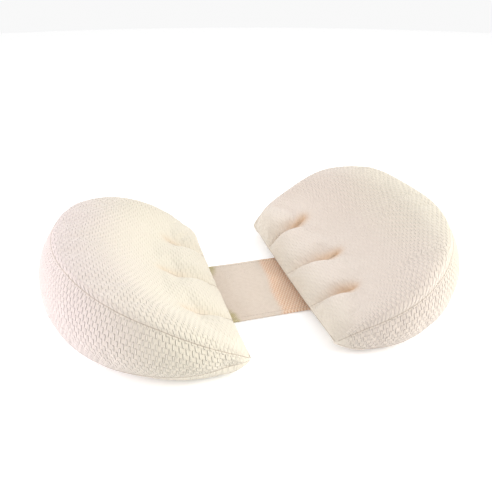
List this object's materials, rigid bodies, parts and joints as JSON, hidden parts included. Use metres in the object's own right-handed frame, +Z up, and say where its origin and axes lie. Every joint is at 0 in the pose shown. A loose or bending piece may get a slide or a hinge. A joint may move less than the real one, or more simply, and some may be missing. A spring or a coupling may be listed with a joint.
{
  "type": "nursing pillow",
  "caption": "Matching half-moon wedge cushions with darted inner edges and zipped knit covers, joined by a wide folding cloth band with adjustable hook-and-loop ends.",
  "frame": {"origin": "on the surface it rests on, under the middle of the connecting band", "axes": "+X along the band from one cushion to the other, +Y along the straight inner seams of the cushions, +Z up"},
  "size_m": [0.5716, 0.3906, 0.1247],
  "materials": {
    "cover_knit": "cream quilted air-layer knit with raised rice-grain stitches",
    "base_cloth": "the same knit, plain side",
    "liner_cloth": "plain white woven cotton",
    "fibre_fill": "loose white polyester fibre",
    "band_face_cloth": "beige brushed plain weave",
    "band_backing_cloth": "beige plain weave",
    "hook_tape": "stiff nylon hook tape",
    "loop_tape": "brushed nylon loop tape",
    "zip_tape": "woven polyester tape",
    "zip_teeth": "nylon coil",
    "zip_metal": "satin plated metal"
  },
  "bodies": {
    "band": {"band_face_middle": "band_face_cloth", "band_backing_middle": "band_backing_cloth"},
    "tab_left": {"band_face_left": "band_face_cloth", "band_backing_left": "band_backing_cloth", "hook_patch_left": "hook_tape"},
    "cushion_left": {"cover_top_left": "cover_knit", "cover_gusset_left": "cover_knit", "cover_base_left": "base_cloth", "liner_top_left": "liner_cloth", "liner_base_left": "liner_cloth", "fill_left": "fibre_fill", "loop_patch_left": "loop_tape", "zip_tape_inner_left": "zip_tape", "zip_tape_outer_left": "zip_tape", "zip_teeth_inner_left": "zip_teeth", "zip_teeth_outer_left": "zip_teeth", "zip_top_stop_inner_left": "zip_metal", "zip_top_stop_outer_left": "zip_metal", "zip_bottom_stop_left": "zip_metal"},
    "slider_left": {"zip_slider_left": "zip_metal"},
    "pull_left": {"zip_pull_left": "zip_metal"},
    "tab_right": {"band_face_right": "band_face_cloth", "band_backing_right": "band_backing_cloth", "hook_patch_right": "hook_tape"},
    "cushion_right": {"cover_top_right": "cover_knit", "cover_gusset_right": "cover_knit", "cover_base_right": "base_cloth", "liner_top_right": "liner_cloth", "liner_base_right": "liner_cloth", "fill_right": "fibre_fill", "loop_patch_right": "loop_tape", "zip_tape_inner_right": "zip_tape", "zip_tape_outer_right": "zip_tape", "zip_teeth_inner_right": "zip_teeth", "zip_teeth_outer_right": "zip_teeth", "zip_top_stop_inner_right": "zip_metal", "zip_top_stop_outer_right": "zip_metal", "zip_bottom_stop_right": "zip_metal"},
    "slider_right": {"zip_slider_right": "zip_metal"},
    "pull_right": {"zip_pull_right": "zip_metal"}
  },
  "joints": [
    {"name": "fold_left", "type": "hinge", "parent": "band", "child": "tab_left", "pos_m": [-0.025, 0, 0.00165], "axis": [0, 1, 0], "range_deg": [-90, 60]},
    {"name": "adjust_left", "type": "slide", "parent": "tab_left", "child": "cushion_left", "axis": [-1, 0, 0], "range_m": [-0.025, 0.025]},
    {"name": "zip_slide_left", "type": "slide", "parent": "cushion_left", "child": "slider_left", "axis": [0, 1, 0], "range_m": [0, 0.155]},
    {"name": "zip_pull_left", "type": "hinge", "parent": "slider_left", "child": "pull_left", "pos_m": [-0.1986, -0.0838, 0.003], "axis": [-1, 0, 0], "range_deg": [0, 170]},
    {"name": "fold_right", "type": "hinge", "parent": "band", "child": "tab_right", "pos_m": [0.025, 0, 0.00165], "axis": [0, -1, 0], "range_deg": [-90, 60]},
    {"name": "adjust_right", "type": "slide", "parent": "tab_right", "child": "cushion_right", "axis": [1, 0, 0], "range_m": [-0.025, 0.025]},
    {"name": "zip_slide_right", "type": "slide", "parent": "cushion_right", "child": "slider_right", "axis": [0, -1, 0], "range_m": [0, 0.155]},
    {"name": "zip_pull_right", "type": "hinge", "parent": "slider_right", "child": "pull_right", "pos_m": [0.1986, 0.0838, 0.003], "axis": [1, 0, 0], "range_deg": [0, 170]}
  ]
}
